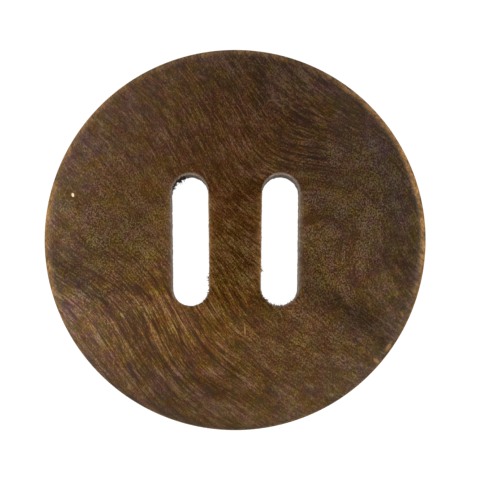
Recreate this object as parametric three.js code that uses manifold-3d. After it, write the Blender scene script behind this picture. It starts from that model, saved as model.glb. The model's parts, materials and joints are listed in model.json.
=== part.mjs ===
// A sew-through wooden button: one turned disc with a rounded front rim and two long slots
// milled side by side, which lean a little apart towards one end.
// Millimetres, +Z up. The origin is the centre of the flat back face, +Z points to the front
// face, and the slots run along Y.

import * as THREE from "three";
import { mergeVertices } from "three/addons/utils/BufferGeometryUtils.js";
import Module from "manifold-3d";

// Disc
const DIAMETER = 50;
const THICKNESS = 5;
const SHOULDER_WIDTH = 1.5; // how far the front rim's rounding reaches in from the edge
const SHOULDER_HEIGHT = 1.1; // how far it reaches down the edge
const BACK_ROUND = 0.7; // radius of the rounding round the back face

// Slots
const SLOT_WIDTH = 4.85;
const SLOT_LENGTH = 17.2; // over both round ends
const SLOT_SPACING = 11.75; // between the slots' centres
const SLOT_OFFSET = -0.2; // how far along Y the pair sits off the disc's centre
const SLOT_LEAN = 0.75; // degrees that each slot's +Y end leans outwards
const MOUTH_EASE = 0.12; // how much wider each mouth is than the slot, on every side
const MOUTH_DEPTH = 0.35; // how deep that easing reaches
const BREAKTHROUGH = 0.02; // how far the cutter passes each face

// Facets
const ROUND_SEGMENTS = 96;
const SHOULDER_SEGMENTS = 5;
const BACK_SEGMENTS = 3;
const SLOT_END_SEGMENTS = 12;
const MOUTH_SEGMENTS = 3;

const wasm = await Module();
wasm.setup();

// A quarter of an ellipse, as points from angle `from` to `from` + 90 degrees.
function quarterEllipse(centreX, centreY, radiusX, radiusY, from, segments) {
  const points = [];
  for (let i = 0; i <= segments; i++) {
    const angle = from + ((Math.PI / 2) * i) / segments;
    points.push(
      new THREE.Vector2(
        centreX + radiusX * Math.cos(angle),
        centreY + radiusY * Math.sin(angle),
      ),
    );
  }
  return points;
}

// The disc without its slots: half its cross-section, turned about the axis.
function blankGeometry() {
  const radius = DIAMETER / 2;
  const profile = [
    new THREE.Vector2(0, 0),
    ...quarterEllipse(
      radius - BACK_ROUND,
      BACK_ROUND,
      BACK_ROUND,
      BACK_ROUND,
      -Math.PI / 2,
      BACK_SEGMENTS,
    ),
    ...quarterEllipse(
      radius - SHOULDER_WIDTH,
      THICKNESS - SHOULDER_HEIGHT,
      SHOULDER_WIDTH,
      SHOULDER_HEIGHT,
      0,
      SHOULDER_SEGMENTS,
    ),
    new THREE.Vector2(0, THICKNESS),
  ];
  return new THREE.LatheGeometry(profile, ROUND_SEGMENTS).rotateX(Math.PI / 2);
}

// A slot's outline: two straight sides joined by half circles, `ease` wider on every side.
function slotShape(ease) {
  const radius = SLOT_WIDTH / 2 + ease;
  const endCentre = (SLOT_LENGTH - SLOT_WIDTH) / 2;
  return new THREE.Shape()
    .absarc(0, endCentre, radius, 0, Math.PI)
    .absarc(0, -endCentre, radius, Math.PI, 2 * Math.PI)
    .closePath();
}

// What the cutter takes out: a slot that opens out smoothly to its mouth in each face.
function slotGeometry(side) {
  const mouthDepth = MOUTH_DEPTH + BREAKTHROUGH;
  return new THREE.ExtrudeGeometry(slotShape(MOUTH_EASE), {
    depth: THICKNESS - 2 * MOUTH_DEPTH,
    curveSegments: SLOT_END_SEGMENTS,
    bevelThickness: mouthDepth,
    bevelSize: -MOUTH_EASE,
    bevelSegments: MOUTH_SEGMENTS,
  })
    .translate(0, 0, MOUTH_DEPTH)
    .rotateZ(THREE.MathUtils.degToRad(-side * SLOT_LEAN))
    .translate((side * SLOT_SPACING) / 2, SLOT_OFFSET, 0);
}

// A closed geometry as a solid that can be cut.
function toSolid(geometry) {
  geometry.deleteAttribute("normal");
  geometry.deleteAttribute("uv");
  const merged = mergeVertices(geometry, 1e-4);
  return new wasm.Manifold(
    new wasm.Mesh({
      numProp: 3,
      vertProperties: merged.attributes.position.array,
      triVerts: new Uint32Array(merged.index.array),
    }),
  );
}

// A solid as a geometry with a flat normal on each facet.
function toGeometry(solid) {
  const { vertProperties, triVerts } = solid.getMesh();
  const shared = new THREE.BufferGeometry();
  shared.setAttribute("position", new THREE.BufferAttribute(vertProperties, 3));
  shared.setIndex(new THREE.BufferAttribute(triVerts, 1));
  const geometry = shared.toNonIndexed();
  geometry.computeVertexNormals();
  return geometry;
}

function makeButtonDisc() {
  const disc = [-1, 1].reduce(
    (solid, side) => solid.subtract(toSolid(slotGeometry(side))),
    toSolid(blankGeometry()),
  );
  const stainedWood = new THREE.MeshStandardMaterial({
    name: "stained_wood",
    color: 0x583f28,
    roughness: 0.45,
    metalness: 0,
  });
  const mesh = new THREE.Mesh(toGeometry(disc), stainedWood);
  mesh.name = "button_disc";
  return mesh;
}

const button = new THREE.Group();
button.name = "sew_on_button";
button.add(makeButtonDisc());

export default button;
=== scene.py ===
"""The looks of a wooden sew-through button: a turned disc of stained, figured wood with two milled
slots, the torn fibres that the cutter left in them, and a white light table to see it on.

Everything is in metres, in the part's own frame: the back face lies on z = 0, +Z is the front and the
slots run along Y."""

import json
import math

import bpy
import numpy as np
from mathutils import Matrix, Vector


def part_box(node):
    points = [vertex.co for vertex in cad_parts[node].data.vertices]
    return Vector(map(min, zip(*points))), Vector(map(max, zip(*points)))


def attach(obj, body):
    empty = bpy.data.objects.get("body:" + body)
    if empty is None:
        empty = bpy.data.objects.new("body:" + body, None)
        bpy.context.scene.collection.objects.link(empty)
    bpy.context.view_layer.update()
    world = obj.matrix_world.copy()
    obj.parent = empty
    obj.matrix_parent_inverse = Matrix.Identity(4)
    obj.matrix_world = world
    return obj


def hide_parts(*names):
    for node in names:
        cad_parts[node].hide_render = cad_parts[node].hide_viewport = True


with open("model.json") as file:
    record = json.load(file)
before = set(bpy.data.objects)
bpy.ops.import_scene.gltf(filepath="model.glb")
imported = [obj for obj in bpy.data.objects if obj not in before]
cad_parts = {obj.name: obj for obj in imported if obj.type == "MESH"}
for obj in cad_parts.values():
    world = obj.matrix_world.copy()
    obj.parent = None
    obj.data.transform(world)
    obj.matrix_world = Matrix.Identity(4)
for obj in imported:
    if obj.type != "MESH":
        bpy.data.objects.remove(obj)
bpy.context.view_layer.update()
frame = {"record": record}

bl_info = {
    "name": "Wooden Sew-Through Button",
    "version": (1, 0, 0),
    "blender": (4, 5, 0),
    "location": "3D View > Sidebar > Button",
    "description": "Makes a stained wooden button with two long slots, and a light table under it",
    "category": "Add Mesh",
}

MM = 0.001

DISC_LOW, DISC_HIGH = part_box("button_disc")
DISC_RADIUS = (DISC_HIGH.x - DISC_LOW.x) / 2
DISC_THICKNESS = DISC_HIGH.z - DISC_LOW.z
SLOT_BOXES = [np.array(o["box_m"]) for o in frame["record"]["physics"]["openings"]]
SLOT_SPACING = float(abs(SLOT_BOXES[1][:, 0].mean() - SLOT_BOXES[0][:, 0].mean()))
SLOT_OFFSET = float(SLOT_BOXES[0][:, 1].mean())

# How finely the disc is divided
SIDE_STEPS = 150  # along each straight side of a slot
END_STEPS = 150  # round each end of a slot
FACE_STEPS = 34  # from a slot's mouth out to the rim, on the front
BACK_STEPS = 10  # the same on the back
MOUTH_STEPS = 5  # down the easing of a mouth
WALL_STEPS = 8  # down a slot's wall, from one easing to the other
SHOULDER_STEPS = 14
EDGE_STEPS = 6
BACK_ROUND_STEPS = 6

# Torn fibres
FIBRE_COUNT = 130
FIBRE_RINGS = 4
FIBRE_SHORTEST = 0.35  # the shortest, as a share of the longest
FIBRE_SCATTER = 0.45  # how far each leans its own way, against 1 straight out of the wall
FIBRE_PULL = (0.25, -0.25, 0.0)  # how far they all lean along the grain, on the same scale
FIBRE_SAG = 0.25  # how far a tip hangs, as a share of its length
STRAY_FIBRES = 0.006  # the chance of a fibre outside the torn patches, against 1 inside them
FIBRE_SHADE = 0.7  # how far they have the colour of torn wood
WALL_TORN_SHADE = 0.85  # the same for the torn walls

# Bends in the grain, in disc radii: (u, v, reach along u, reach along v, push across the rings).
# u runs down the slope of the grain and v across it.
GRAIN_BENDS = (
    (0.28, 0.55, 0.25, 0.30, -0.19),
    (0.31, 0.45, 0.09, 0.09, -0.08),
    (-0.15, 0.33, 0.24, 0.24, 0.12),
    (0.33, -0.25, 0.22, 0.35, 0.085),
    (-0.25, -0.60, 0.20, 0.30, -0.075),
    (-0.85, 0.10, 0.24, 0.40, -0.09),
    (0.66, 0.15, 0.20, 0.25, 0.07),
)
RING_LEAN = 0.6  # how far the rings slope, per unit of depth
WANDER_CELLS = (0.005, 0.009, 0.006)  # of the rings' slow wander: across them, along them, in depth
WANDER_REACH = 0.0009

# Cells of noise in the shape, in mm
WAVER_CELLS = (0.26, 0.26, 1.2)  # the wavering of a slot's wall
LUMP_CELLS = (0.17, 0.17, 1.3)  # the lumps of torn wood
RELIEF_CELLS = (1.6, 16, 10)  # the low soft rings of the front: across the grain, along it, in depth

# Noises of the finish: (grains in mm, detail, roughness). Those of the figure count their grains
# across the rings, along them and in depth, and the rest along X, Y and Z.
FIGURE_NOISES = {
    "rings": ((0.60, 12, 8), 2.0, 0.5),
    "streaks": ((0.85, 17, 10), 1.0, 0.4),
    "lines": ((0.21, 2.8, 2.0), 2.0, 0.5),
    "fibres": ((0.15, 0.7, 0.6), 2.0, 0.6),
    "hairs": ((0.085, 0.25, 0.25), 1.0, 0.5),
    "patchy": ((1.3, 3.0, 3.0), 2.0, 0.5),
}
STAIN_NOISES = {
    "speckle": ((0.17, 0.24, 0.2), 2.0, 0.6),
    "broad": ((2.6, 2.0, 2.0), 2.0, 0.5),
    "broken": ((0.5, 0.5, 0.5), 3.0, 0.6),
    "glint_flecks": ((0.20, 0.34, 0.3), 2.0, 0.5),
    "green": ((1.5, 1.5, 1.5), 2.0, 0.5),
    "blue": ((2.0, 2.0, 2.0), 2.0, 0.6),
    "rim_breakup": ((3, 3, 1.5), 2.0, 0.5),
    "wall_specks": ((0.16, 0.16, 0.5), 2.0, 0.6),
}

# How far the noises swing the wood's tone, where 1 is the whole range from pore to fleck
RING_SWING = 0.95  # at most, in the bold patches
LINE_SWINGS = (1.20, 0.40)  # on plain wood and on mottled wood
FIBRE_SWINGS = (1.25, 0.80)  # the same
HAIR_SWING = 0.95
SPECKLE_SWINGS = (1.10, 2.00)  # everywhere, and as much again where the wood is mottled
PATCHY_SWING = 0.38
BROAD_SWING = 0.85
DARK_LINE_WIDTH = 0.030  # how close to its middle a noise makes a dark line
STREAK_DARKNESS = 0.95
RING_DARKNESS = 0.42

# How strongly the patches and clouds below turn the colour; the clouds are partly painted light and
# shade
CLOUD_DEPTH = 2.5
RED_DEPTH = 0.10
GOLDEN_DEPTH = 0.30
RIM_SHADE = 0.13  # how much darker the shoulder round the rim is painted, as shade
MOTLEY_HUE = (0.35, 0.45)  # how far the hue varies on the edge, and how much more on the front
BLUE_VARIES = 2.9  # how much more the blue part varies than the green

# Bands round the rim (painted highlight, painted shade, rougher lacquer), as how far in from the edge
# they start and how far in they are full
RIM_HIGHLIGHT_BAND = (1.05 * MM, 0.30 * MM)
SHADED_RIM_BAND = (1.1 * MM, 0.3 * MM)
MATT_BAND = (0.6 * MM, 0.1 * MM)
MATT_RIM = 0.5  # how much rougher the lacquer is there
RIM_HIGHLIGHT_FOOT = (0.45 * MM, 0.15 * MM)  # below and above the shoulder's foot, where the painted highlight ends
FRINGE_GLOW = 0.45  # how strongly a golden band is painted at the shoulder's foot, as a reflection of the table's light
FRINGE_GLOW_REACH = 0.5 * MM
SHEEN_RADII = (0.28, 0.42, 0.72, 0.92)  # in disc radii
SHEEN_SHARES = (0, 0.11, 0.14, 0.24)  # how strongly a greyish painted sheen, a reflection of the bright room, lies on the lacquer there

# Along the slots
MOUTH_FADE = 0.30 * MM  # how far out from a slot its pale lacquer and painted highlight fade
BRIDGE_HIGHLIGHT = 0.55  # how far the bridge side of a mouth is painted lighter, as a highlight
MOUTH_PALE = 0.5  # how pale the lacquer and painted highlight are on the other side
PALE_ROWS = (0, 1, 2, 4)  # rows down a mouth
PALE_SHARES = (0.45, 1.0, 0.6, 0.0)  # how pale the lacquer and painted highlight are on them

# The light table, its lamps and the camera, in metres
TABLE_FLAT = 0.75
TABLE_BEND = 0.25
TABLE_TOP = 0.80
TABLE_DROP = 0.02 * MM  # how far the table lies under the button
LAMP_SIZE = (0.30, 0.45)
LAMP_PLACE = (0.42, -0.06, 0.33)
LAMP_TURN = math.radians(52)
CAMERA_AIM = (0.64 * MM, -0.15 * MM, -1.1 * MM)  # from the middle of the front face
VIEW_WIDTH = 1.2592  # how many of the disc's diameters fit across the view
SENSOR_WIDTH = 36.0  # mm

# Painted light and shade: how much lighter the colour gets per disc radius towards +X and +Y, so that
# it is lit from -X and -Y
LIGHT_SLOPE = (-0.11, -0.05)

# Soft lighter and darker clouds, in disc radii, partly stain and partly painted light and shade,
# lighter at the lower left and darker at the top: (x, y, reach, strength)
STAIN_AND_SHADE_CLOUDS = (
    (0.05, 0.27, 0.12, -0.11),
    (0.30, 0.70, 0.26, -0.09),
    (-0.05, 0.90, 0.24, -0.07),
    (0.16, 0.86, 0.20, -0.12),
    (0.00, 0.68, 0.34, -0.02),
    (-0.22, 0.46, 0.14, -0.09),
    (0.36, 0.36, 0.14, -0.08),
    (0.80, 0.44, 0.14, -0.14),
    (0.90, 0.16, 0.07, -0.12),
    (0.90, -0.12, 0.08, -0.12),
    (-0.70, 0.05, 0.12, -0.05),
    (-0.60, 0.56, 0.20, -0.05),
    (0.34, -0.16, 0.10, -0.12),
    (0.42, -0.25, 0.055, -0.15),
    (0.51, -0.33, 0.045, -0.26),
    (0.61, -0.39, 0.045, -0.31),
    (0.71, -0.45, 0.045, -0.28),
    (0.79, -0.51, 0.045, -0.13),
    (0.60, -0.34, 0.22, 0.02),
    (-0.93, -0.13, 0.05, -0.11),
    (-0.83, -0.20, 0.05, -0.17),
    (-0.74, -0.27, 0.05, -0.17),
    (-0.66, -0.32, 0.040, -0.08),
    (-0.70, -0.19, 0.060, 0.07),
    (-0.80, -0.36, 0.12, 0.14),
    (-0.68, -0.50, 0.16, 0.07),
    (-0.42, -0.40, 0.18, 0.10),
    (-0.46, -0.20, 0.12, 0.06),
    (-0.72, 0.26, 0.14, 0.05),
    (0.62, 0.08, 0.14, -0.05),
    (0.58, -0.17, 0.10, 0.08),
    (0.02, -0.13, 0.12, -0.06),
    (0.03, -0.38, 0.08, 0.07),
    (-0.34, -0.26, 0.07, 0.07),
    (-0.18, -0.54, 0.09, 0.07),
    (-0.56, -0.02, 0.20, -0.09),
    (0.08, 0.62, 0.32, 0.07),
    (0.12, -0.48, 0.24, 0.05),
    (0.45, -0.62, 0.22, 0.03),
    (-0.18, -0.58, 0.16, 0.08),
    (-0.28, -0.86, 0.18, -0.16),
    (-0.94, 0.05, 0.12, 0.06),
)

# Where the figure is mottled, with bright flecks; the two on the right are partly painted glints: (x,
# y, reach, strength)
MOTTLE_AND_GLINT_PATCHES = (
    (0.58, 0.06, 0.20, 1.3),
    (0.66, 0.36, 0.16, 0.8),
    (-0.62, 0.12, 0.24, 0.9),
    (0.42, -0.30, 0.16, 0.3),
    (0.40, -0.62, 0.22, 0.5),
)

# Where the ring lines are wide and dark, or faint below 0: (x, y, reach, strength)
BOLD_RING_PATCHES = (
    (-0.56, -0.54, 0.26, 1.2),
    (-0.10, -0.60, 0.22, 0.3),
    (-0.48, -0.70, 0.14, 0.5),
    (0.34, 0.44, 0.14, 0.7),
    (-0.32, 0.57, 0.34, -0.50),
)

# Where the fine figure is stronger or fainter than elsewhere: (x, y, reach, strength)
DETAIL_PATCHES = (
    (0.10, 0.80, 0.30, 0.60),
    (-0.66, -0.10, 0.20, 0.15),
    (0.80, 0.28, 0.22, 0.35),
    (-0.85, -0.05, 0.16, 0.20),
    (-0.60, -0.48, 0.24, 0.32),
    (0.00, -0.12, 0.12, 0.25),
    (0.60, -0.45, 0.30, 0.30),
    (0.15, -0.62, 0.24, 0.10),
)

# Where the stain is redder, or greener if the strength is below 0: (x, y, reach, strength)
RED_PATCHES = (
    (-0.35, -0.35, 0.45, 0.8),
    (-0.62, -0.12, 0.30, -1.1),
    (0.04, -0.15, 0.14, -1.3),
    (0.08, 0.60, 0.32, 1.3),
    (0.65, 0.35, 0.36, -0.8),
)

# Where the stain is more golden, or greyer if the strength is below 0: (x, y, reach, strength)
GOLDEN_PATCHES = (
    (-0.20, -0.32, 0.26, 1.1),
    (0.06, -0.12, 0.12, -0.7),
    (0.00, 0.52, 0.26, 0.9),
    (-0.52, 0.22, 0.18, 0.5),
    (0.68, 0.04, 0.14, -0.6),
    (0.10, -0.75, 0.30, 0.4),
    (-0.70, 0.48, 0.24, -0.7),
    (0.76, 0.50, 0.20, -0.9),
    (-0.80, -0.35, 0.16, -0.5),
)

# Where the cutter tore the wood at the slots: (x, y, reach, strength)
TORN_PATCHES = (
    (-0.306, 0.292, 0.026, 1.5),
    (-0.280, 0.322, 0.018, 1.0),
    (-0.140, -0.200, 0.020, 1.0),
    (-0.140, -0.285, 0.035, 0.9),
    (0.200, -0.345, 0.045, 0.55),
    (0.270, -0.335, 0.035, 0.55),
    (0.137, -0.161, 0.012, 0.9),
    (0.165, -0.305, 0.022, 0.6),
)

# Where the lacquer is pale along a slot's mouth, with a painted highlight on the eased edge: (x, y,
# reach, strength)
PALE_MOUTHS = (
    (0.232, 0.335, 0.070, 1.0),
    (-0.235, 0.335, 0.060, 0.8),
    (0.325, 0.180, 0.120, 0.5),
    (0.325, -0.060, 0.130, 0.5),
    (0.325, -0.260, 0.100, 0.4),
    (-0.330, 0.150, 0.130, 0.4),
    (-0.330, -0.150, 0.140, 0.4),
    (0.135, -0.250, 0.070, 0.6),
    (-0.145, 0.180, 0.080, 0.3),
)

# Painted highlight on the rim's shoulder, lighter where the light falls on it: (degrees round from +X,
# reach in degrees, strength)
RIM_HIGHLIGHTS = (
    (6, 17, 1.00),
    (34, 16, 0.54),
    (70, 24, 0.28),
    (110, 24, 0.26),
    (150, 16, 0.42),
    (172, 12, 0.62),
    (194, 12, 0.60),
    (-37, 7, 0.10),
)

# Small pale spots, in disc radii; the first and strongest is a painted glint on the lacquer: (x, y,
# half width, half length, degrees of lean, strength)
PALE_SPOTS = (
    (-0.849, 0.228, 0.0055, 0.0085, 10, 3.0),
    (0.051, -0.479, 0.0040, 0.0300, 2, 0.26),
    (0.800, -0.566, 0.0100, 0.0220, -30, 0.20),
    (0.737, -0.640, 0.0090, 0.0200, 55, 0.20),
    (0.870, -0.398, 0.0080, 0.0180, 15, 0.10),
    (0.579, 0.786, 0.0110, 0.0280, 40, 0.08),
    (0.700, 0.692, 0.0110, 0.0300, 45, 0.12),
)
SPOT_DEPTH = 2 * MM  # how far down a spot reaches


def stain(red, green, blue):
    """A colour given as 0 to 255 screen values, as the linear values that shaders take."""
    screen = np.array((red, green, blue)) / 255
    linear = np.where(screen <= 0.04045, screen / 12.92, ((screen + 0.055) / 1.055) ** 2.4)
    return tuple(float(value) for value in linear)


# ---------------------------------------------------------------------------------------------
# Settings


def length_setting(name, description, default):
    """A length that a user can change, with its default in mm."""
    return bpy.props.FloatProperty(
        name=name, description=description, default=default * MM, unit="LENGTH"
    )


def colour_setting(name, description, red, green, blue):
    """A colour that a user can change, with its default as 0 to 255 screen values."""
    return bpy.props.FloatVectorProperty(
        name=name,
        description=description,
        default=stain(red, green, blue),
        subtype="COLOR",
        min=0.0,
        max=1.0,
    )


class ButtonShape(bpy.types.PropertyGroup):
    """Sizes of the disc and its slots."""

    slot_width: length_setting("Slot width", "Diameter of the cutter that milled the slots", 4.85)
    slot_length: length_setting("Slot length", "Length of a slot over both round ends", 17.2)
    slot_lean: bpy.props.FloatProperty(
        name="Slot lean",
        description="How far the +Y end of each slot leans outwards",
        default=math.radians(0.75),
        unit="ROTATION",
    )
    mouth_ease: length_setting(
        "Mouth easing", "How much wider each mouth is than its slot, on every side", 0.12
    )
    mouth_depth: length_setting("Mouth depth", "How deep the easing of a mouth reaches", 0.35)
    shoulder_width: length_setting(
        "Shoulder width", "How far the front rim's rounding reaches in from the edge", 1.5
    )
    shoulder_height: length_setting(
        "Shoulder height", "How far the front rim's rounding reaches down the edge", 1.1
    )
    back_round: length_setting("Back rounding", "Radius of the rounding round the back face", 0.7)
    crown: length_setting(
        "Crown", "How much lower the front face is at its rim than at its middle", 0.06
    )
    ring_relief: length_setting(
        "Ring relief", "How deep the soft rings lie under the lacquer", 0.012
    )
    wall_roughness: length_setting("Wall roughness", "How far a milled wall wavers", 0.075)
    tear_depth: length_setting(
        "Tear depth", "How far torn wood stands in from a slot's wall at most", 0.42
    )
    fibre_length: length_setting("Fibre length", "Length of the longest torn fibres", 0.45)
    fibre_width: length_setting("Fibre width", "Width of a torn fibre at its root", 0.09)


class WoodFinish(bpy.types.PropertyGroup):
    """Colours of the stained wood and its lacquer, and of its painted sheen, highlights and glint."""

    pore_colour: colour_setting("Pores", "Colour of the pores and the darkest streaks", 41, 15, 0)
    dark_colour: colour_setting("Dark rings", "Colour of the dense dark rings", 60, 33, 2)
    middle_colour: colour_setting("Wood", "Main colour of the stained wood", 80, 47, 9)
    light_colour: colour_setting("Light rings", "Colour of the soft light rings", 102, 71, 38)
    fleck_colour: colour_setting("Flecks", "Colour of the brightest fibres", 127, 98, 68)
    # The dusty lacquer colour is a painted sheen: a greyish haze that grows towards the rim, as a
    # reflection of the bright room.
    sheen_colour: colour_setting("Dusty lacquer", "Cast of the lacquer towards the rim", 99, 90, 76)
    # The rim colour is the lighter colour of the painted highlight on the rim's shoulder and on the
    # bridge side of the mouths.
    rim_colour: colour_setting(
        "Rubbed rim", "Colour of the rim where the stain is rubbed thin", 166, 122, 70
    )
    # The worn edge colour is a golden band painted at the shoulder's foot, standing in for the table's
    # light reflected there.
    edge_colour: colour_setting(
        "Worn edge", "Colour of the worn wood where the shoulder meets the edge", 152, 112, 56
    )
    # The slot mouths' colour is pale lacquer with a painted highlight of the eased edge.
    mouth_colour: colour_setting(
        "Slot mouths", "Colour of the lacquer along the mouths of the slots", 176, 156, 138
    )
    # The bare wood colour is the colour of the painted glint at the strongest spot.
    glint_colour: colour_setting(
        "Bare wood", "Colour of the small spots with no stain", 240, 222, 190
    )
    wall_colour: colour_setting(
        "Slot walls", "Colour of the slot walls, which the cutter has scorched", 122, 113, 104
    )
    torn_colour: colour_setting("Torn wood", "Colour of the torn wood and its fibres", 60, 42, 32)


class LightTable(bpy.types.PropertyGroup):
    """The camera and the light round the button."""

    camera_distance: bpy.props.FloatProperty(
        name="Camera distance",
        description="From the lens to the front of the button",
        default=0.25,
        unit="LENGTH",
    )
    camera_tilt: bpy.props.FloatProperty(
        name="Camera tilt",
        description="How far the camera leans off the button's axis",
        default=math.radians(3.6),
        unit="ROTATION",
    )
    side_light: bpy.props.FloatProperty(
        name="Side light",
        description="Power of each of the two side lights",
        default=1.6,
        unit="POWER",
    )
    tent_glow: bpy.props.FloatProperty(
        name="Table glow",
        description="How brightly the white table and tent shine by themselves",
        default=0.99,
    )


# ---------------------------------------------------------------------------------------------
# Patterns worked out as whole arrays


def random_at(corners, seed):
    """A random number from 0 to 1 for each whole-numbered corner, the same on every run: the three
    numbers and the seed are multiplied by large primes, summed and stirred."""
    mixed = corners @ np.array((374761393, 668265263, 1442695041)) + seed * 1274126177
    mixed = ((mixed ^ (mixed >> 13)) * 1103515245) & 0x7FFFFFFF
    mixed = ((mixed ^ (mixed >> 15)) * 60493) & 0x7FFFFFFF
    return (mixed ^ (mixed >> 11)) % 65536 / 65535


def soft_noise(cells, seed):
    """Smooth noise from 0 to 1: random numbers at the corners of unit cells, blended across each cell
    by three squared steps less two cubed ones along each axis."""
    base = np.floor(cells).astype(np.int64)
    step = cells - base
    step = step * step * (3 - 2 * step)
    total = np.zeros(cells.shape[:-1])
    for corner in np.ndindex(2, 2, 2):
        weight = np.prod(np.where(corner, step, 1 - step), axis=-1)
        total += weight * random_at(base + np.array(corner), seed)
    return total


def patches(points, table):
    """Sum of round bells: each adds its strength times e to the power of minus half the squared
    distance from its middle, counted in reaches. Places and reaches are in disc radii."""
    x, y = points[..., 0] / DISC_RADIUS, points[..., 1] / DISC_RADIUS
    total = np.zeros(x.shape)
    for middle_x, middle_y, reach, strength in table:
        squared = ((x - middle_x) ** 2 + (y - middle_y) ** 2) / reach**2
        total += strength * np.exp(-squared / 2)
    return total


def bells_round(angles, table):
    """Sum of bells round a circle, from (middle, reach, strength) in degrees, as patches adds them."""
    total = np.zeros(angles.shape)
    for middle, reach, strength in table:
        apart = (angles - middle + 180) % 360 - 180
        total += strength * np.exp(-((apart / reach) ** 2) / 2)
    return total


def ramp_up(values, low, high):
    """0 up to low, 1 from high on, and three squared steps less two cubed ones between them."""
    step = np.clip((values - low) / (high - low), 0, 1)
    return step * step * (3 - 2 * step)


def grain_map(points):
    """Where each point lies in the wood: across the rings, along the fibres and in depth, in metres.

    The rings start as level lines of v, straight lines at 45 degrees. Each bend adds a bell-shaped
    push across them, slow noise wanders them by a part of a millimetre, and depth slopes them."""
    x, y, z = points[..., 0], points[..., 1], points[..., 2]
    along = (x - y) / math.sqrt(2)
    across = (x + y) / math.sqrt(2)
    u, v = along / DISC_RADIUS, across / DISC_RADIUS
    push = np.zeros(x.shape)
    for middle_u, middle_v, reach_u, reach_v, strength in GRAIN_BENDS:
        squared = ((u - middle_u) / reach_u) ** 2 + ((v - middle_v) / reach_v) ** 2
        push += strength * np.exp(-squared / 2)
    wander = soft_noise(np.stack((across, along, z), axis=-1) / np.array(WANDER_CELLS), 3) - 0.5
    bent = across + push * DISC_RADIUS + wander * WANDER_REACH + RING_LEAN * (z - DISC_THICKNESS)
    return np.stack((bent, along, z), axis=-1)


def from_slots(points, shape):
    """How far each point lies outside the nearest slot's mouth, in metres: its distance to the line
    down the slot's middle, less half the width of the mouth."""
    half = (shape.slot_length - shape.slot_width) / 2
    off = np.stack((np.abs(points[:, 0]) - SLOT_SPACING / 2, points[:, 1] - SLOT_OFFSET), axis=-1)
    straight = turned(off, shape.slot_lean)
    beyond = np.maximum(np.abs(straight[:, 1]) - half, 0)
    return np.hypot(straight[:, 0], beyond) - shape.slot_width / 2 - shape.mouth_ease


def torn_wood(places, shape):
    """How far a slot's wall stands in from the cutter's path at each place, in metres.

    All walls waver with noise. In the torn patches, lumps are added: noise in narrow columns, with
    its lower part cut off flat, and deeper towards the back."""
    waver = soft_noise(places / np.array(WAVER_CELLS) / MM, 21)
    columns = soft_noise(places / np.array(LUMP_CELLS) / MM, 22)
    lumps = np.clip((columns - 0.38) / 0.5, 0, 1) - 0.15
    torn = np.clip(patches(places, TORN_PATCHES), 0, 1)
    deeper = 0.45 + 0.55 * np.clip(1 - places[..., 2] / DISC_THICKNESS, 0, 1)
    return shape.wall_roughness * (waver - 0.5) + shape.tear_depth * torn * lumps * deeper


# ---------------------------------------------------------------------------------------------
# Mesh


class Points:
    """Keeps the points of a mesh and hands out their numbers, so that grids can share an edge."""

    def __init__(self):
        self.blocks = []
        self.count = 0

    def add(self, places):
        """Keeps the places, (..., 3), and returns their numbers, (...)."""
        numbers = self.count + np.arange(places[..., 0].size).reshape(places.shape[:-1])
        self.blocks.append(places.reshape(-1, 3))
        self.count += numbers.size
        return numbers

    def all(self):
        return np.concatenate(self.blocks)


def grid_faces(numbers, flip, closed):
    """The four-sided faces of a grid of point numbers. closed joins the last row to the first."""
    rows = np.concatenate((numbers, numbers[:1])) if closed else numbers
    corners = (rows[:-1, :-1], rows[1:, :-1], rows[1:, 1:], rows[:-1, 1:])
    faces = np.stack(corners[::-1] if flip else corners, axis=-1)
    return faces.reshape(-1, 4)


def make_mesh_piece(name, points, faces, materials, attributes=None):
    """A smooth-shaded mesh object. faces is a list of (array of faces, number of their material), and
    each attribute holds one number or one vector for every point."""
    mesh = bpy.data.meshes.new(name)
    mesh.from_pydata(points, [], [face for block, _ in faces for face in block.tolist()])
    mesh.shade_smooth()
    for material in materials:
        mesh.materials.append(material)
    numbers = np.concatenate([np.full(len(block), number) for block, number in faces])
    mesh.polygons.foreach_set("material_index", numbers.astype(np.int32))
    for label, values in (attributes or {}).items():
        kind, field = ("FLOAT_VECTOR", "vector") if values.ndim == 2 else ("FLOAT", "value")
        layer = mesh.attributes.new(label, kind, "POINT")
        layer.data.foreach_set(field, values.astype(np.float32).ravel())
    mesh.validate()
    piece = bpy.data.objects.new(name, mesh)
    bpy.context.scene.collection.objects.link(piece)
    return piece


def turned(places, angle):
    """Places turned about Z by angle, counter-clockwise."""
    cos, sin = math.cos(angle), math.sin(angle)
    x, y = places[..., 0], places[..., 1]
    return np.stack((x * cos - y * sin, x * sin + y * cos), axis=-1)


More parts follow.
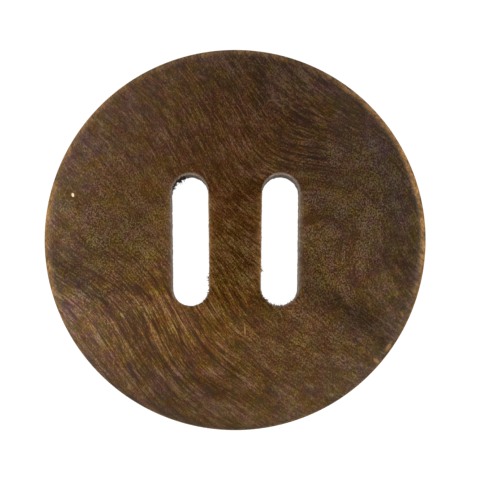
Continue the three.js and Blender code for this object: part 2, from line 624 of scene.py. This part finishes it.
def slot_rays(shape, face_radius):
    """The lines that fan out from the right-hand slot, counter-clockwise from its lower right.

    Each leaves the slot's middle line square to the slot's outline. Returns where each starts, which
    way it goes, where it ends on the half disc, and which two of them end on its corners."""
    half = (shape.slot_length - shape.slot_width) / 2
    centre = np.array((SLOT_SPACING / 2, SLOT_OFFSET))
    ends = centre + turned(np.array(((0, half), (0, -half))), -shape.slot_lean)
    corners = np.array(((0, face_radius), (0, -face_radius))) - ends
    turn = np.arctan2(corners[:, 1], corners[:, 0]) + shape.slot_lean
    top, bottom = turn[0], turn[1] + 2 * math.pi
    split = round(END_STEPS * top / math.pi)
    side = np.linspace(-half, half, SIDE_STEPS, endpoint=False)
    fans = (
        (0.0, top, split, half),
        (top, math.pi, END_STEPS - split, half),
        (math.pi, bottom, END_STEPS - split, -half),
        (bottom, 2 * math.pi, split, -half),
    )
    fan_angles = [np.linspace(a, b, n, endpoint=False) for a, b, n, _ in fans]
    fan_places = [np.full(n, place) for _, _, n, place in fans]
    angles = np.concatenate(
        (np.zeros(SIDE_STEPS), *fan_angles[:2], np.full(SIDE_STEPS, math.pi), *fan_angles[2:])
    )
    places = np.concatenate((side, *fan_places[:2], -side, *fan_places[2:]))
    start = centre + turned(np.stack((0 * places, places), axis=-1), -shape.slot_lean)
    ray = turned(np.stack((np.cos(angles), np.sin(angles)), axis=-1), -shape.slot_lean)
    inward = (start * ray).sum(1)
    reach = -inward + np.sqrt(inward**2 + face_radius**2 - (start**2).sum(1))
    top_corner = SIDE_STEPS + split
    bottom_corner = 2 * SIDE_STEPS + 2 * END_STEPS - split
    order = np.arange(len(angles))
    straight = (order >= top_corner) & (order <= bottom_corner)
    reach[straight] = -start[straight, 0] / ray[straight, 0]
    finish = start + ray * reach[:, None]
    finish[straight, 0] = 0.0
    return start, ray, finish, top_corner, bottom_corner


def slot_wall_profile(shape):
    """A slot's wall from its front mouth to its back one, as (how far each row stands out from the
    cutter's path, its height). Each mouth is a quarter ellipse, and the wall between is straight."""
    quarter = np.linspace(0, math.pi / 2, MOUTH_STEPS + 1)
    ease = shape.mouth_ease * (1 - np.sin(quarter))
    depth = shape.mouth_depth * (1 - np.cos(quarter))
    low, high = shape.mouth_depth, DISC_THICKNESS - shape.mouth_depth
    straight = np.linspace(low, high, WALL_STEPS + 1)[1:-1]
    depths = np.concatenate((depth, straight, DISC_THICKNESS - depth[::-1]))
    return np.concatenate((ease, np.zeros(len(straight)), ease[::-1])), DISC_THICKNESS - depths


def rim_profile(shape):
    """The rim from the front face to the back one, as (radius, height): a quarter ellipse for the
    shoulder, a straight edge, and a quarter circle round the back."""
    face_radius, back_radius = DISC_RADIUS - shape.shoulder_width, DISC_RADIUS - shape.back_round
    shoulder = np.linspace(0, math.pi / 2, SHOULDER_STEPS + 1)[1:]
    rounding = np.linspace(0, math.pi / 2, BACK_ROUND_STEPS + 1)[:-1]
    edge = np.linspace(DISC_THICKNESS - shape.shoulder_height, shape.back_round, EDGE_STEPS + 1)[1:-1]
    radius = (
        face_radius + shape.shoulder_width * np.sin(shoulder),
        np.full(len(edge), DISC_RADIUS),
        back_radius + shape.back_round * np.cos(rounding),
    )
    height = (
        DISC_THICKNESS - shape.shoulder_height * (1 - np.cos(shoulder)),
        edge,
        shape.back_round * (1 - np.sin(rounding)),
    )
    return np.concatenate(radius), np.concatenate(height)


def at_height(flat, height):
    """Places on a plane, (..., 2), lifted to one height."""
    return np.concatenate((flat, np.full(flat.shape[:-1] + (1,), height)), axis=-1)


def ruled(inner, outer, steps, height):
    """The rows of points between two edges, closer together near the inner one."""
    share = np.linspace(0, 1, steps + 1)[1:-1]
    share = share * (0.55 + 0.45 * share)
    return at_height(inner[:, None] + (outer - inner)[:, None] * share[:, None], height)


def make_disc_points(shape):
    """The whole surface of the button as grids of shared points.

    A slot's wall is the slot's outline carried down its profile, less the torn wood. The front and
    the back are ruled from each mouth to the rim along the fan of lines, and the rim is its profile
    turned round the axis. The left half mirrors the right, and both share the points on X = 0.
    Returns the points, the faces with their material, the numbers of the walls' points and the way
    into the slot from each."""
    face_radius, back_radius = DISC_RADIUS - shape.shoulder_width, DISC_RADIUS - shape.back_round
    start, ray, finish, top_corner, bottom_corner = slot_rays(shape, face_radius)
    count = len(start)
    on_line = np.arange(top_corner, bottom_corner + 1)
    on_arc = np.concatenate((np.arange(bottom_corner, count), np.arange(top_corner + 1)))
    ease, wall_z = slot_wall_profile(shape)
    wall_z = np.broadcast_to(wall_z, (count, len(wall_z)))[..., None]
    back_finish = finish * (back_radius / face_radius)
    below = len(ease) - 1 - MOUTH_STEPS

    store = Points()
    faces, wall_numbers, inward, rings, shared = [], [], [], {}, {}
    for side in (1, -1):
        hand = np.array((side, 1.0))
        path = (start[:, None] + ray[:, None] * (shape.slot_width / 2 + ease)[:, None]) * hand
        stands_in = torn_wood(np.concatenate((path, wall_z), axis=-1), shape)[..., None]
        path = path - ray[:, None] * hand * stands_in
        inward.append(np.broadcast_to(at_height(-ray * hand, 0.0)[:, None], wall_z.shape[:2] + (3,)))
        walls = store.add(np.concatenate((path, wall_z), axis=-1))
        wall_numbers.append(walls)
        front = store.add(ruled(path[:, 0], finish * hand, FACE_STEPS, DISC_THICKNESS))
        back = store.add(ruled(path[:, -1], back_finish * hand, BACK_STEPS, 0.0))
        for name, edge, height in (("front", finish, DISC_THICKNESS), ("back", back_finish, 0.0)):
            numbers = store.add(at_height(edge * hand, height))
            numbers[on_line] = shared.setdefault(name, numbers[on_line].copy())
            rings[name, side] = numbers
        front_grid = np.column_stack((walls[:, 0], front, rings["front", side]))
        back_grid = np.column_stack((walls[:, -1], back, rings["back", side]))
        faces += [
            (grid_faces(walls[:, : MOUTH_STEPS + 1], side < 0, True), 0),
            (grid_faces(walls[:, MOUTH_STEPS : below + 1], side < 0, True), 1),
            (grid_faces(walls[:, below:], side < 0, True), 0),
            (grid_faces(front_grid, side > 0, True), 0),
            (grid_faces(back_grid, side < 0, True), 0),
        ]

    arc = finish[on_arc] / face_radius
    around = np.concatenate((arc, (arc * (-1, 1))[-2:0:-1]))
    radius, height = rim_profile(shape)
    rim = np.concatenate(
        (
            around[:, None] * radius[:, None],
            np.broadcast_to(height[:, None], (len(around), len(height), 1)),
        ),
        axis=-1,
    )
    ring = {
        name: np.concatenate((rings[name, 1][on_arc], rings[name, -1][on_arc][-2:0:-1]))
        for name in ("front", "back")
    }
    rim_grid = np.column_stack((ring["front"], store.add(rim), ring["back"]))
    faces.append((grid_faces(rim_grid, True, True), 0))
    return store.all(), faces, np.stack(wall_numbers), np.stack(inward)


def make_fibres(walls, ways_in, shape):
    """Closed, tapered blades of torn wood that stand on the slots' walls, as points and faces.

    Roots are drawn from the walls' points, most of all in the torn patches. Each blade's path leaves
    its root square to the wall, leans along the grain, and falls with the square of the way along
    it. Its four-sided section shrinks evenly to a blunt end, and both ends are closed."""
    draw = np.random.default_rng(7)
    places = walls.reshape(-1, 3)
    inward = ways_in.reshape(-1, 3)
    middle = np.abs(places[:, 2] - DISC_THICKNESS * 0.35) < DISC_THICKNESS * 0.30
    chance = (np.clip(patches(places, TORN_PATCHES), 0, 1) + STRAY_FIBRES) * middle
    roots = draw.choice(len(places), FIBRE_COUNT, replace=False, p=chance / chance.sum())
    torn = np.clip(patches(places[roots], TORN_PATCHES), 0, 1)
    length = shape.fibre_length * (FIBRE_SHORTEST + (1 - FIBRE_SHORTEST) * torn)
    length = length * draw.uniform(FIBRE_SHORTEST, 1.0, FIBRE_COUNT)
    thick = shape.fibre_width / 2 * draw.uniform(0.6, 1.0, FIBRE_COUNT)
    lean = draw.normal(0, FIBRE_SCATTER, (FIBRE_COUNT, 3)) + np.array(FIBRE_PULL)
    way = inward[roots] + lean
    way /= np.linalg.norm(way, axis=1, keepdims=True)
    share = np.linspace(-0.25, 1, FIBRE_RINGS)[None, :, None]
    path = places[roots][:, None] + way[:, None] * length[:, None, None] * share
    path = path + np.array((0, 0, -FIBRE_SAG)) * length[:, None, None] * share**2
    across = np.cross(way, (0.0, 0.0, 1.0))
    across /= np.linalg.norm(across, axis=1, keepdims=True)
    over = np.cross(across, way)
    turn = np.linspace(0, 2 * math.pi, 5)[:-1]
    section = across[:, None] * np.cos(turn)[:, None] + over[:, None] * np.sin(turn)[:, None] * 0.6
    swell = thick[:, None, None, None] * (1 - 0.8 * np.clip(share, 0, 1))[..., None]
    rings = path[:, :, None] + section[:, None] * swell
    store = Points()
    numbers = store.add(rings)
    first, last = store.add(path[:, 0]), store.add(path[:, -1])
    faces = []
    for blade in range(4):
        there = (blade + 1) % 4
        sides = (
            numbers[:, :-1, there],
            numbers[:, :-1, blade],
            numbers[:, 1:, blade],
            numbers[:, 1:, there],
        )
        faces.append((np.stack(sides, axis=-1).reshape(-1, 4), 0))
        faces.append((np.stack((numbers[:, 0, blade], numbers[:, 0, there], first), axis=-1), 0))
        faces.append((np.stack((numbers[:, -1, there], numbers[:, -1, blade], last), axis=-1), 0))
    return store.all(), faces


# ---------------------------------------------------------------------------------------------
# Materials


def put(tree, kind, inputs=None, **settings):
    """Adds a node, sets its settings, and gives each input a value or a link from a socket."""
    made = tree.nodes.new(kind)
    for name, value in settings.items():
        setattr(made, name, value)
    for name, value in (inputs or {}).items():
        if isinstance(value, bpy.types.NodeSocket):
            tree.links.new(value, made.inputs[name])
        else:
            made.inputs[name].default_value = value
    return made


def reckon(tree, operation, first, second=0.0, clamp=False):
    """The result of one sum on two numbers or sockets."""
    made = put(tree, "ShaderNodeMath", {0: first, 1: second}, operation=operation, use_clamp=clamp)
    return made.outputs[0]


def stretched_noise(tree, source, sizes, detail, roughness):
    """Noise whose grains have the given sizes, in mm, along the source's three directions."""
    scaled = put(
        tree,
        "ShaderNodeMapping",
        {"Vector": source, "Scale": [1 / (size * MM) for size in sizes]},
    )
    made = put(
        tree,
        "ShaderNodeTexNoise",
        {"Vector": scaled.outputs[0], "Scale": 1.0, "Detail": detail, "Roughness": roughness},
    )
    return made.outputs[0]


def spread(tree, value, low, high, to_low=0.0, to_high=1.0, smooth=False):
    """A value stretched from one range to another and held inside it."""
    made = put(
        tree,
        "ShaderNodeMapRange",
        {"Value": value, "From Min": low, "From Max": high, "To Min": to_low, "To Max": to_high},
        interpolation_type="SMOOTHSTEP" if smooth else "LINEAR",
    )
    return made.outputs[0]


def blended(tree, share, first, second, blend="MIX"):
    """Two colours blended by share, from the first to the second."""
    made = put(tree, "ShaderNodeMix", {"Factor": share}, data_type="RGBA", blend_type=blend)
    for socket, value in ((made.inputs[6], first), (made.inputs[7], second)):
        if isinstance(value, bpy.types.NodeSocket):
            tree.links.new(value, socket)
        else:
            socket.default_value = (*value, 1.0)
    return made.outputs[2]


def new_material(name):
    """A material with an empty tree that ends in a Principled surface, as (material, tree, surface)."""
    material = bpy.data.materials.new(name)
    material.use_nodes = True
    tree = material.node_tree
    tree.nodes.clear()
    surface = put(tree, "ShaderNodeBsdfPrincipled")
    put(tree, "ShaderNodeOutputMaterial", {"Surface": surface.outputs[0]})
    return material, tree, surface


def pale_spots(tree, place, breakup):
    """How strongly the spots show, 0 or more: an oval for each spot, with its outline broken by noise.
    """
    total = 0.0
    for x, y, half_width, half_length, lean, strength in PALE_SPOTS:
        moved = put(
            tree,
            "ShaderNodeMapping",
            {
                "Vector": place,
                "Location": (x * DISC_RADIUS, y * DISC_RADIUS, DISC_THICKNESS),
                "Rotation": (0, 0, math.radians(lean)),
                "Scale": (half_width * DISC_RADIUS, half_length * DISC_RADIUS, SPOT_DEPTH),
            },
            vector_type="TEXTURE",
        )
        away = put(tree, "ShaderNodeVectorMath", {0: moved.outputs[0]}, operation="LENGTH")
        broken = reckon(tree, "ADD", away.outputs["Value"], breakup)
        total = reckon(tree, "ADD", total, spread(tree, broken, 1.3, 0.6, 0.0, strength))
    return reckon(tree, "MINIMUM", total, 1.0)


def make_stained_wood(finish):
    """Stained, lacquered wood with wavy figure: rings, fibres, pores, mottle and stain clouds, with
    painted light and shade, a painted sheen, painted highlights and painted glints laid into its
    colour.
    """
    material, tree, surface = new_material("stained_wood")
    place = put(tree, "ShaderNodeTexCoord").outputs["Object"]
    grain = put(tree, "ShaderNodeAttribute", attribute_name="grain").outputs["Vector"]

    def layer(name):
        return put(tree, "ShaderNodeAttribute", attribute_name=name).outputs["Fac"]

    def layer_colour(name):
        return put(tree, "ShaderNodeAttribute", attribute_name=name).outputs["Color"]

    def figure_noise(name):
        return stretched_noise(tree, grain, *FIGURE_NOISES[name])

    def stain_noise(name):
        return stretched_noise(tree, place, *STAIN_NOISES[name])

    def swing(value, strength):
        """A noise as a swing about 0, times a strength that may vary over the surface."""
        return reckon(tree, "MULTIPLY", reckon(tree, "SUBTRACT", value, 0.5), strength)

    mottle_and_glints, bold = layer("mottle_and_glints"), layer("bold")
    plain = reckon(tree, "SUBTRACT", 1.0, mottle_and_glints, clamp=True)
    rings = figure_noise("rings")
    streaks = figure_noise("streaks")
    lines = figure_noise("lines")
    fibres = figure_noise("fibres")
    hairs = figure_noise("hairs")
    patchy = figure_noise("patchy")
    speckle = stain_noise("speckle")
    broad = stain_noise("broad")
    broken = stain_noise("broken")

    def dark_lines(value, depth):
        """Thin dark lines where a noise crosses its middle."""
        off = reckon(tree, "ABSOLUTE", reckon(tree, "SUBTRACT", value, 0.5))
        return spread(tree, off, 0.0, DARK_LINE_WIDTH, -depth, 0.0, smooth=True)

    uneven = reckon(tree, "MULTIPLY", mottle_and_glints, spread(tree, patchy, 0.35, 0.62, 0.3, 1.5))
    thin_dark = reckon(
        tree, "ADD", dark_lines(streaks, STREAK_DARKNESS), dark_lines(rings, RING_DARKNESS)
    )
    bold_rings = spread(tree, bold, -0.5, 1.0, 0.0, RING_SWING)
    mottle = reckon(tree, "MULTIPLY", uneven, SPECKLE_SWINGS[1])
    fine = (
        reckon(tree, "MULTIPLY", thin_dark, reckon(tree, "MAXIMUM", bold, 0.0)),
        swing(rings, reckon(tree, "MULTIPLY", plain, bold_rings)),
        swing(lines, spread(tree, mottle_and_glints, 0.0, 1.0, *LINE_SWINGS)),
        swing(fibres, spread(tree, mottle_and_glints, 0.0, 1.0, *FIBRE_SWINGS)),
        swing(hairs, HAIR_SWING),
        swing(speckle, reckon(tree, "ADD", SPECKLE_SWINGS[0], mottle)),
    )
    figure = 0.0
    for part in fine:
        figure = reckon(tree, "ADD", figure, part)
    value = reckon(tree, "MULTIPLY", figure, layer("detail"))
    calm = spread(tree, bold, -0.45, 0.0, 0.35, 1.0)
    for part in (
        0.5,
        swing(patchy, reckon(tree, "MULTIPLY", calm, PATCHY_SWING)),
        swing(broad, reckon(tree, "MULTIPLY", calm, BROAD_SWING)),
    ):
        value = reckon(tree, "ADD", value, part)

    ramp = put(tree, "ShaderNodeValToRGB", {"Fac": value})
    stops = (
        (0.00, finish.pore_colour),
        (0.25, finish.dark_colour),
        (0.50, finish.middle_colour),
        (0.77, finish.light_colour),
        (1.00, finish.fleck_colour),
    )
    elements = ramp.color_ramp.elements
    for index, (position, colour) in enumerate(stops):
        stop = elements[index] if index < 2 else elements.new(position)
        stop.position = position
        stop.color = (*colour, 1.0)
    # Bright flecks in the mottled wood, partly figure and partly painted glints on the right.
    glint_flecks = spread(tree, stain_noise("glint_flecks"), 0.58, 0.70)
    glint_flecks = reckon(tree, "MULTIPLY", glint_flecks, reckon(tree, "MULTIPLY", uneven, 0.60))
    colour = blended(tree, glint_flecks, ramp.outputs[0], tuple(finish.fleck_colour))
    # Painted sheen: a greyish haze blended in more towards the rim.
    colour = blended(tree, layer("painted_sheen"), colour, tuple(finish.sheen_colour))
    # The tint holds the stain's hue and clouds, and the painted light and shade.
    colour = blended(tree, 1.0, colour, layer_colour("tint_and_shade"), "MULTIPLY")
    motley = layer("motley")
    green = swing(stain_noise("green"), motley)
    blue = swing(stain_noise("blue"), reckon(tree, "MULTIPLY", motley, BLUE_VARIES))
    hue = put(
        tree,
        "ShaderNodeCombineColor",
        {
            "Red": 1.0,
            "Green": reckon(tree, "ADD", 1.0, green),
            "Blue": reckon(tree, "ADD", 1.0, blue),
        },
    )
    colour = blended(tree, 1.0, colour, hue.outputs[0], "MULTIPLY")
    # Painted highlights on the rim's shoulder and mouths, and a painted golden reflection at the
    # shoulder's foot, broken up by noise and following the figure's tone.
    rim_breakup = spread(tree, stain_noise("rim_breakup"), 0.38, 0.60, 0.55, 1.15)
    for name, painted_colour in (("painted_highlight", finish.rim_colour), ("edge", finish.edge_colour)):
        share = reckon(tree, "MULTIPLY", layer(name), spread(tree, broken, 0.30, 0.60, 0.30, 1.0))
        share = reckon(tree, "MULTIPLY", share, rim_breakup)
        darker, lighter = (tuple(tone * part for part in painted_colour) for tone in (0.55, 1.35))
        painted_light = blended(tree, spread(tree, value, 0.1, 0.9), darker, lighter)
        colour = blended(tree, share, colour, painted_light)
    # Pale lacquer and a painted highlight along the slots' mouths.
    pale = reckon(tree, "MULTIPLY", layer("mouth"), spread(tree, broken, 0.30, 0.60, 0.35, 1.0))
    colour = blended(tree, pale, colour, tuple(finish.mouth_colour))
    colour = blended(tree, layer("scorched"), colour, tuple(finish.wall_colour))

    # A weak spot has the lighter colour of the rim's painted highlight, and the strong one is a painted
    # glint.
    spots = pale_spots(tree, place, swing(broken, 0.9))
    glint_share = spread(tree, spots, 0.3, 0.8)
    spot_colour = blended(tree, glint_share, tuple(finish.rim_colour), tuple(finish.glint_colour))
    colour = blended(tree, reckon(tree, "MULTIPLY", spots, 3.0, clamp=True), colour, spot_colour)
    tree.links.new(colour, surface.inputs["Base Color"])

    rough = spread(tree, fibres, 0.3, 0.7, 0.48, 0.36)
    rough = reckon(tree, "ADD", rough, layer("matt"), clamp=True)
    tree.links.new(rough, surface.inputs["Roughness"])
    relief = reckon(tree, "ADD", fibres, reckon(tree, "MULTIPLY", rings, 1.5))
    bump = put(tree, "ShaderNodeBump", {"Height": relief, "Strength": 0.6, "Distance": 0.02 * MM})
    tree.links.new(bump.outputs[0], surface.inputs["Normal"])
    surface.inputs["Specular IOR Level"].default_value = 0.12
    return material


def make_scorched_wood(finish):
    """The dull, scorched wood of the slot walls and torn fibres, with dark and pale specks."""
    material, tree, surface = new_material("scorched_wood")
    place = put(tree, "ShaderNodeTexCoord").outputs["Object"]
    specks = stretched_noise(tree, place, *STAIN_NOISES["wall_specks"])
    wall = tuple(finish.wall_colour)
    dark = tuple(0.3 * part for part in wall)
    pale = tuple(1.4 * part for part in wall)
    colour = blended(tree, spread(tree, specks, 0.30, 0.46), dark, wall)
    colour = blended(tree, spread(tree, specks, 0.52, 0.72), colour, pale)
    torn = put(tree, "ShaderNodeAttribute", attribute_name="torn").outputs["Fac"]
    colour = blended(tree, torn, colour, tuple(finish.torn_colour))
    # The mouths' easing takes the pale colour of the lacquer there and of its painted highlight.
    lacquered = put(tree, "ShaderNodeAttribute", attribute_name="mouth").outputs["Fac"]
    colour = blended(tree, lacquered, colour, tuple(finish.mouth_colour))
    tree.links.new(colour, surface.inputs["Base Color"])
    bump = put(tree, "ShaderNodeBump", {"Height": specks, "Strength": 0.5, "Distance": 0.03 * MM})
    tree.links.new(bump.outputs[0], surface.inputs["Normal"])
    surface.inputs["Roughness"].default_value = 1.0
    surface.inputs["Specular IOR Level"].default_value = 0.0
    return material


def make_table_white(glow):
    """Matt white that also shines a little by itself, as a lit table does."""
    material, _, surface = new_material("white_light_table")
    surface.inputs["Base Color"].default_value = (0.1, 0.1, 0.1, 1.0)
    surface.inputs["Roughness"].default_value = 1.0
    surface.inputs["Specular IOR Level"].default_value = 0.0
    surface.inputs["Emission Color"].default_value = (1.0, 1.0, 1.0, 1.0)
    surface.inputs["Emission Strength"].default_value = glow
    return material


# ---------------------------------------------------------------------------------------------
# Operators


class BUTTON_OT_make_disc(bpy.types.Operator):
    """Make the turned wooden disc with its two slots"""

    bl_idname = "button.make_disc"
    bl_label = "Make Wooden Disc"

    def execute(self, context):
        shape, finish = context.scene.button_shape, context.scene.wood_finish
        points, faces, walls, _ = make_disc_points(shape)
        attributes = self.make_layers(points, walls, shape)
        points[:, 2] += self.front_relief(points, attributes["grain"], shape)
        woods = (make_stained_wood(finish), make_scorched_wood(finish))
        disc = make_mesh_piece("wooden_button", points, faces, woods, attributes)
        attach(disc, "root")
        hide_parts("button_disc")
        return {"FINISHED"}

    def make_layers(self, points, walls, shape):
        """What the wood's material reads at each point: the grain, the tint with the stain's hue and
        its painted light and shade, how mottled (with painted glints), boldly ringed, motley, matt,
        scorched or torn the wood is there, and where the painted sheen, the painted highlights on the
        rim and along the mouths (with pale lacquer there) and the painted golden reflection at the
        shoulder's foot lie."""
        x, y, z = points.T
        distance = np.hypot(x, y)

        def near_edge(band):
            """0 further in than the band, and 1 from where it is full out to the edge."""
            return ramp_up(distance, DISC_RADIUS - band[0], DISC_RADIUS - band[1])

        shoulder = DISC_THICKNESS - shape.shoulder_height
        # Painted light: lighter towards -X and -Y, darker towards +X and +Y.
        light_slope = (x * LIGHT_SLOPE[0] + y * LIGHT_SLOPE[1]) / DISC_RADIUS
        rows = np.arange(walls.shape[2])
        # Painted highlight on the rim's shoulder, lighter on the sides where the light falls, and along
        # the mouths on the bridge.
        painted_highlight = bells_round(np.degrees(np.arctan2(y, x)), RIM_HIGHLIGHTS)
        painted_highlight = np.clip(painted_highlight * near_edge(RIM_HIGHLIGHT_BAND), 0, 1)
        painted_highlight *= ramp_up(z, shoulder - RIM_HIGHLIGHT_FOOT[0], shoulder + RIM_HIGHLIGHT_FOOT[1])
        # Pale lacquer and a painted highlight along the mouths: on the bridge side in the lighter rim
        # colour, elsewhere in the mouths' colour.
        outside = from_slots(points, shape)
        beside = np.abs(y - SLOT_OFFSET) < (shape.slot_length - shape.slot_width) / 2
        beside = beside & (z > DISC_THICKNESS - MM)
        fade = np.exp(-np.maximum(outside, 0) / MOUTH_FADE) * beside
        on_bridge = np.abs(x) < SLOT_SPACING / 2
        painted_highlight += BRIDGE_HIGHLIGHT * fade * on_bridge
        mouth = MOUTH_PALE * fade * ~on_bridge
        mouth[walls] = np.interp(rows, PALE_ROWS, PALE_SHARES)
        scorched = np.zeros(len(points))
        from_mouth = np.minimum(rows, rows[::-1])
        scorched[walls] = ramp_up(from_mouth, MOUTH_STEPS - 2.5, MOUTH_STEPS)
        tint_and_shade = np.ones((len(points), 3))
        tint_and_shade[:, 1] -= RED_DEPTH * patches(points, RED_PATCHES)
        tint_and_shade[:, 2] -= GOLDEN_DEPTH * patches(points, GOLDEN_PATCHES)
        # Painted light and shade go into the tint with the stain's clouds: the light slope, the painted
        # clouds and a painted shade on the shoulder.
        clouds_and_shade = patches(points, STAIN_AND_SHADE_CLOUDS) + light_slope - RIM_SHADE * near_edge(SHADED_RIM_BAND)
        tint_and_shade *= np.exp(CLOUD_DEPTH * clouds_and_shade)[:, None]
        # A golden band painted at the shoulder's foot, as a reflection of the table's light.
        painted_light = np.exp(-(((z - shoulder) / FRINGE_GLOW_REACH) ** 2)) * (distance > DISC_RADIUS * 0.99)
        almost_top = DISC_THICKNESS - 0.2 * MM
        return {
            "grain": grain_map(points),
            "tint_and_shade": tint_and_shade,
            "mottle_and_glints": np.clip(patches(points, MOTTLE_AND_GLINT_PATCHES), 0, 1),
            "bold": np.clip(patches(points, BOLD_RING_PATCHES), -0.5, 1.3),
            "detail": 1.0 + patches(points, DETAIL_PATCHES),
            "painted_sheen": np.interp(distance / DISC_RADIUS, SHEEN_RADII, SHEEN_SHARES),
            "painted_highlight": painted_highlight,
            "edge": FRINGE_GLOW * painted_light,
            "motley": MOTLEY_HUE[0] + MOTLEY_HUE[1] * ramp_up(z, shoulder, almost_top),
            "matt": MATT_RIM * near_edge(MATT_BAND),
            "mouth": mouth * np.clip(patches(points, PALE_MOUTHS), 0, 1),
            "scorched": scorched,
            "torn": WALL_TORN_SHADE * np.clip(patches(points, TORN_PATCHES), 0, 1),
        }

    def front_relief(self, points, grain, shape):
        """How far the front is lifted: it falls with the fourth power of the distance from the middle,
        and its soft rings lie a little lower than its hard ones."""
        distance = np.hypot(points[:, 0], points[:, 1])
        share = np.clip(distance / (DISC_RADIUS - shape.shoulder_width), 0, 1)
        rings = soft_noise(grain / np.array(RELIEF_CELLS) / MM, 11)
        height = np.clip(points[:, 2] / DISC_THICKNESS, 0, 1)
        return -height * (shape.crown * share**4 + shape.ring_relief * (1 - rings))


class BUTTON_OT_make_fibres(bpy.types.Operator):
    """Make the torn wood fibres that the cutter left on the walls of the slots"""

    bl_idname = "button.make_fibres"
    bl_label = "Make Torn Fibres"

    def execute(self, context):
        shape = context.scene.button_shape
        points, _, walls, ways_in = make_disc_points(shape)
        blades, faces = make_fibres(points[walls], ways_in, shape)
        wood = bpy.data.materials["scorched_wood"]
        shades = {"torn": np.full(len(blades), FIBRE_SHADE)}
        fibres = make_mesh_piece("torn_fibres", blades, faces, (wood,), shades)
        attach(fibres, "root")
        return {"FINISHED"}


class BUTTON_OT_make_stage(bpy.types.Operator):
    """Make the white light table, the side lights and the camera"""

    bl_idname = "button.make_stage"
    bl_label = "Make Light Table and Camera"

    def execute(self, context):
        table = context.scene.light_table
        self.make_tent(table.tent_glow)
        self.make_lights(context, table.side_light)
        self.make_camera(context, table)
        context.scene.view_settings.view_transform = "Standard"
        world = bpy.data.worlds.new("dark_room")
        world.use_nodes = True
        world.node_tree.nodes["Background"].inputs["Color"].default_value = (0.06, 0.06, 0.065, 1.0)
        context.scene.world = world
        return {"FINISHED"}

    def make_tent(self, glow):
        """A table that curves up into a wall all round: a flat, a quarter circle and an upright,
        turned about the axis."""
        turn = np.linspace(0, math.pi / 2, 17)
        wall = TABLE_FLAT + TABLE_BEND
        bend = TABLE_FLAT + TABLE_BEND * np.sin(turn)
        profile_r = np.concatenate(([0.04, 0.3, 0.5], bend, [wall]))
        profile_z = np.concatenate(([0, 0, 0], TABLE_BEND * (1 - np.cos(turn)), [TABLE_TOP]))
        around = np.linspace(0, 2 * math.pi, 96, endpoint=False)
        store = Points()
        rings = np.stack(
            (
                np.cos(around)[:, None] * profile_r,
                np.sin(around)[:, None] * profile_r,
                np.broadcast_to(profile_z - TABLE_DROP, (len(around), len(profile_r))),
            ),
            axis=-1,
        )
        numbers = store.add(rings)
        middle = store.add(np.array(((0.0, 0.0, -TABLE_DROP),)))
        inner = np.column_stack(
            (numbers[:, 0], np.roll(numbers[:, 0], -1), np.full(len(around), middle[0]))
        )
        faces = [(grid_faces(numbers, True, True), 0), (inner, 0)]
        tent = make_mesh_piece("light_table", store.all(), faces, (make_table_white(glow),))

    def make_lights(self, context, power):
        """Two soft boxes, one on each side, that look at the button from half way up."""
        for name, side in (("left_soft_box", -1), ("right_soft_box", 1)):
            light = bpy.data.lights.new(name, "AREA")
            light.shape = "RECTANGLE"
            light.size, light.size_y = LAMP_SIZE
            light.energy = power
            lamp = bpy.data.objects.new(name, light)
            lamp.location = (side * LAMP_PLACE[0], *LAMP_PLACE[1:])
            lamp.rotation_euler = (0, side * LAMP_TURN, 0)
            lamp.visible_camera = False
            context.scene.collection.objects.link(lamp)

    def make_camera(self, context, table):
        """A long lens that looks down on the button, leaning a little towards its near edge."""
        lens = bpy.data.cameras.new("camera")
        lens.sensor_width = SENSOR_WIDTH
        lens.lens = SENSOR_WIDTH * table.camera_distance / (2 * DISC_RADIUS * VIEW_WIDTH)
        lens.clip_start, lens.clip_end = 0.01, 10.0
        camera = bpy.data.objects.new("camera", lens)
        back = np.array((0.0, -math.sin(table.camera_tilt), math.cos(table.camera_tilt)))
        aim = np.array((0.0, 0.0, DISC_THICKNESS)) + np.array(CAMERA_AIM)
        camera.location = aim + back * table.camera_distance
        camera.rotation_euler = (table.camera_tilt, 0.0, 0.0)
        context.scene.collection.objects.link(camera)
        context.scene.camera = camera


class BUTTON_PT_panel(bpy.types.Panel):
    """Lists the settings and the steps that make the button."""

    bl_idname = "BUTTON_PT_panel"
    bl_label = "Wooden Button"
    bl_space_type = "VIEW_3D"
    bl_region_type = "UI"
    bl_category = "Button"

    def draw(self, context):
        scene = context.scene
        for settings in (scene.button_shape, scene.wood_finish, scene.light_table):
            box = self.layout.box()
            for name in settings.__annotations__:
                box.prop(settings, name)
        for operator in OPERATORS:
            self.layout.operator(operator.bl_idname)


OPERATORS = (BUTTON_OT_make_disc, BUTTON_OT_make_fibres, BUTTON_OT_make_stage)
SETTINGS = {"button_shape": ButtonShape, "wood_finish": WoodFinish, "light_table": LightTable}
CLASSES = (*SETTINGS.values(), *OPERATORS, BUTTON_PT_panel)


def register():
    for cls in CLASSES:
        bpy.utils.register_class(cls)
    for name, group in SETTINGS.items():
        setattr(bpy.types.Scene, name, bpy.props.PointerProperty(type=group))


def unregister():
    for name in SETTINGS:
        delattr(bpy.types.Scene, name)
    for cls in reversed(CLASSES):
        bpy.utils.unregister_class(cls)


def main():
    register()
    bpy.ops.button.make_disc()
    bpy.ops.button.make_fibres()
    bpy.ops.button.make_stage()


if __name__ == "__main__":
    main()
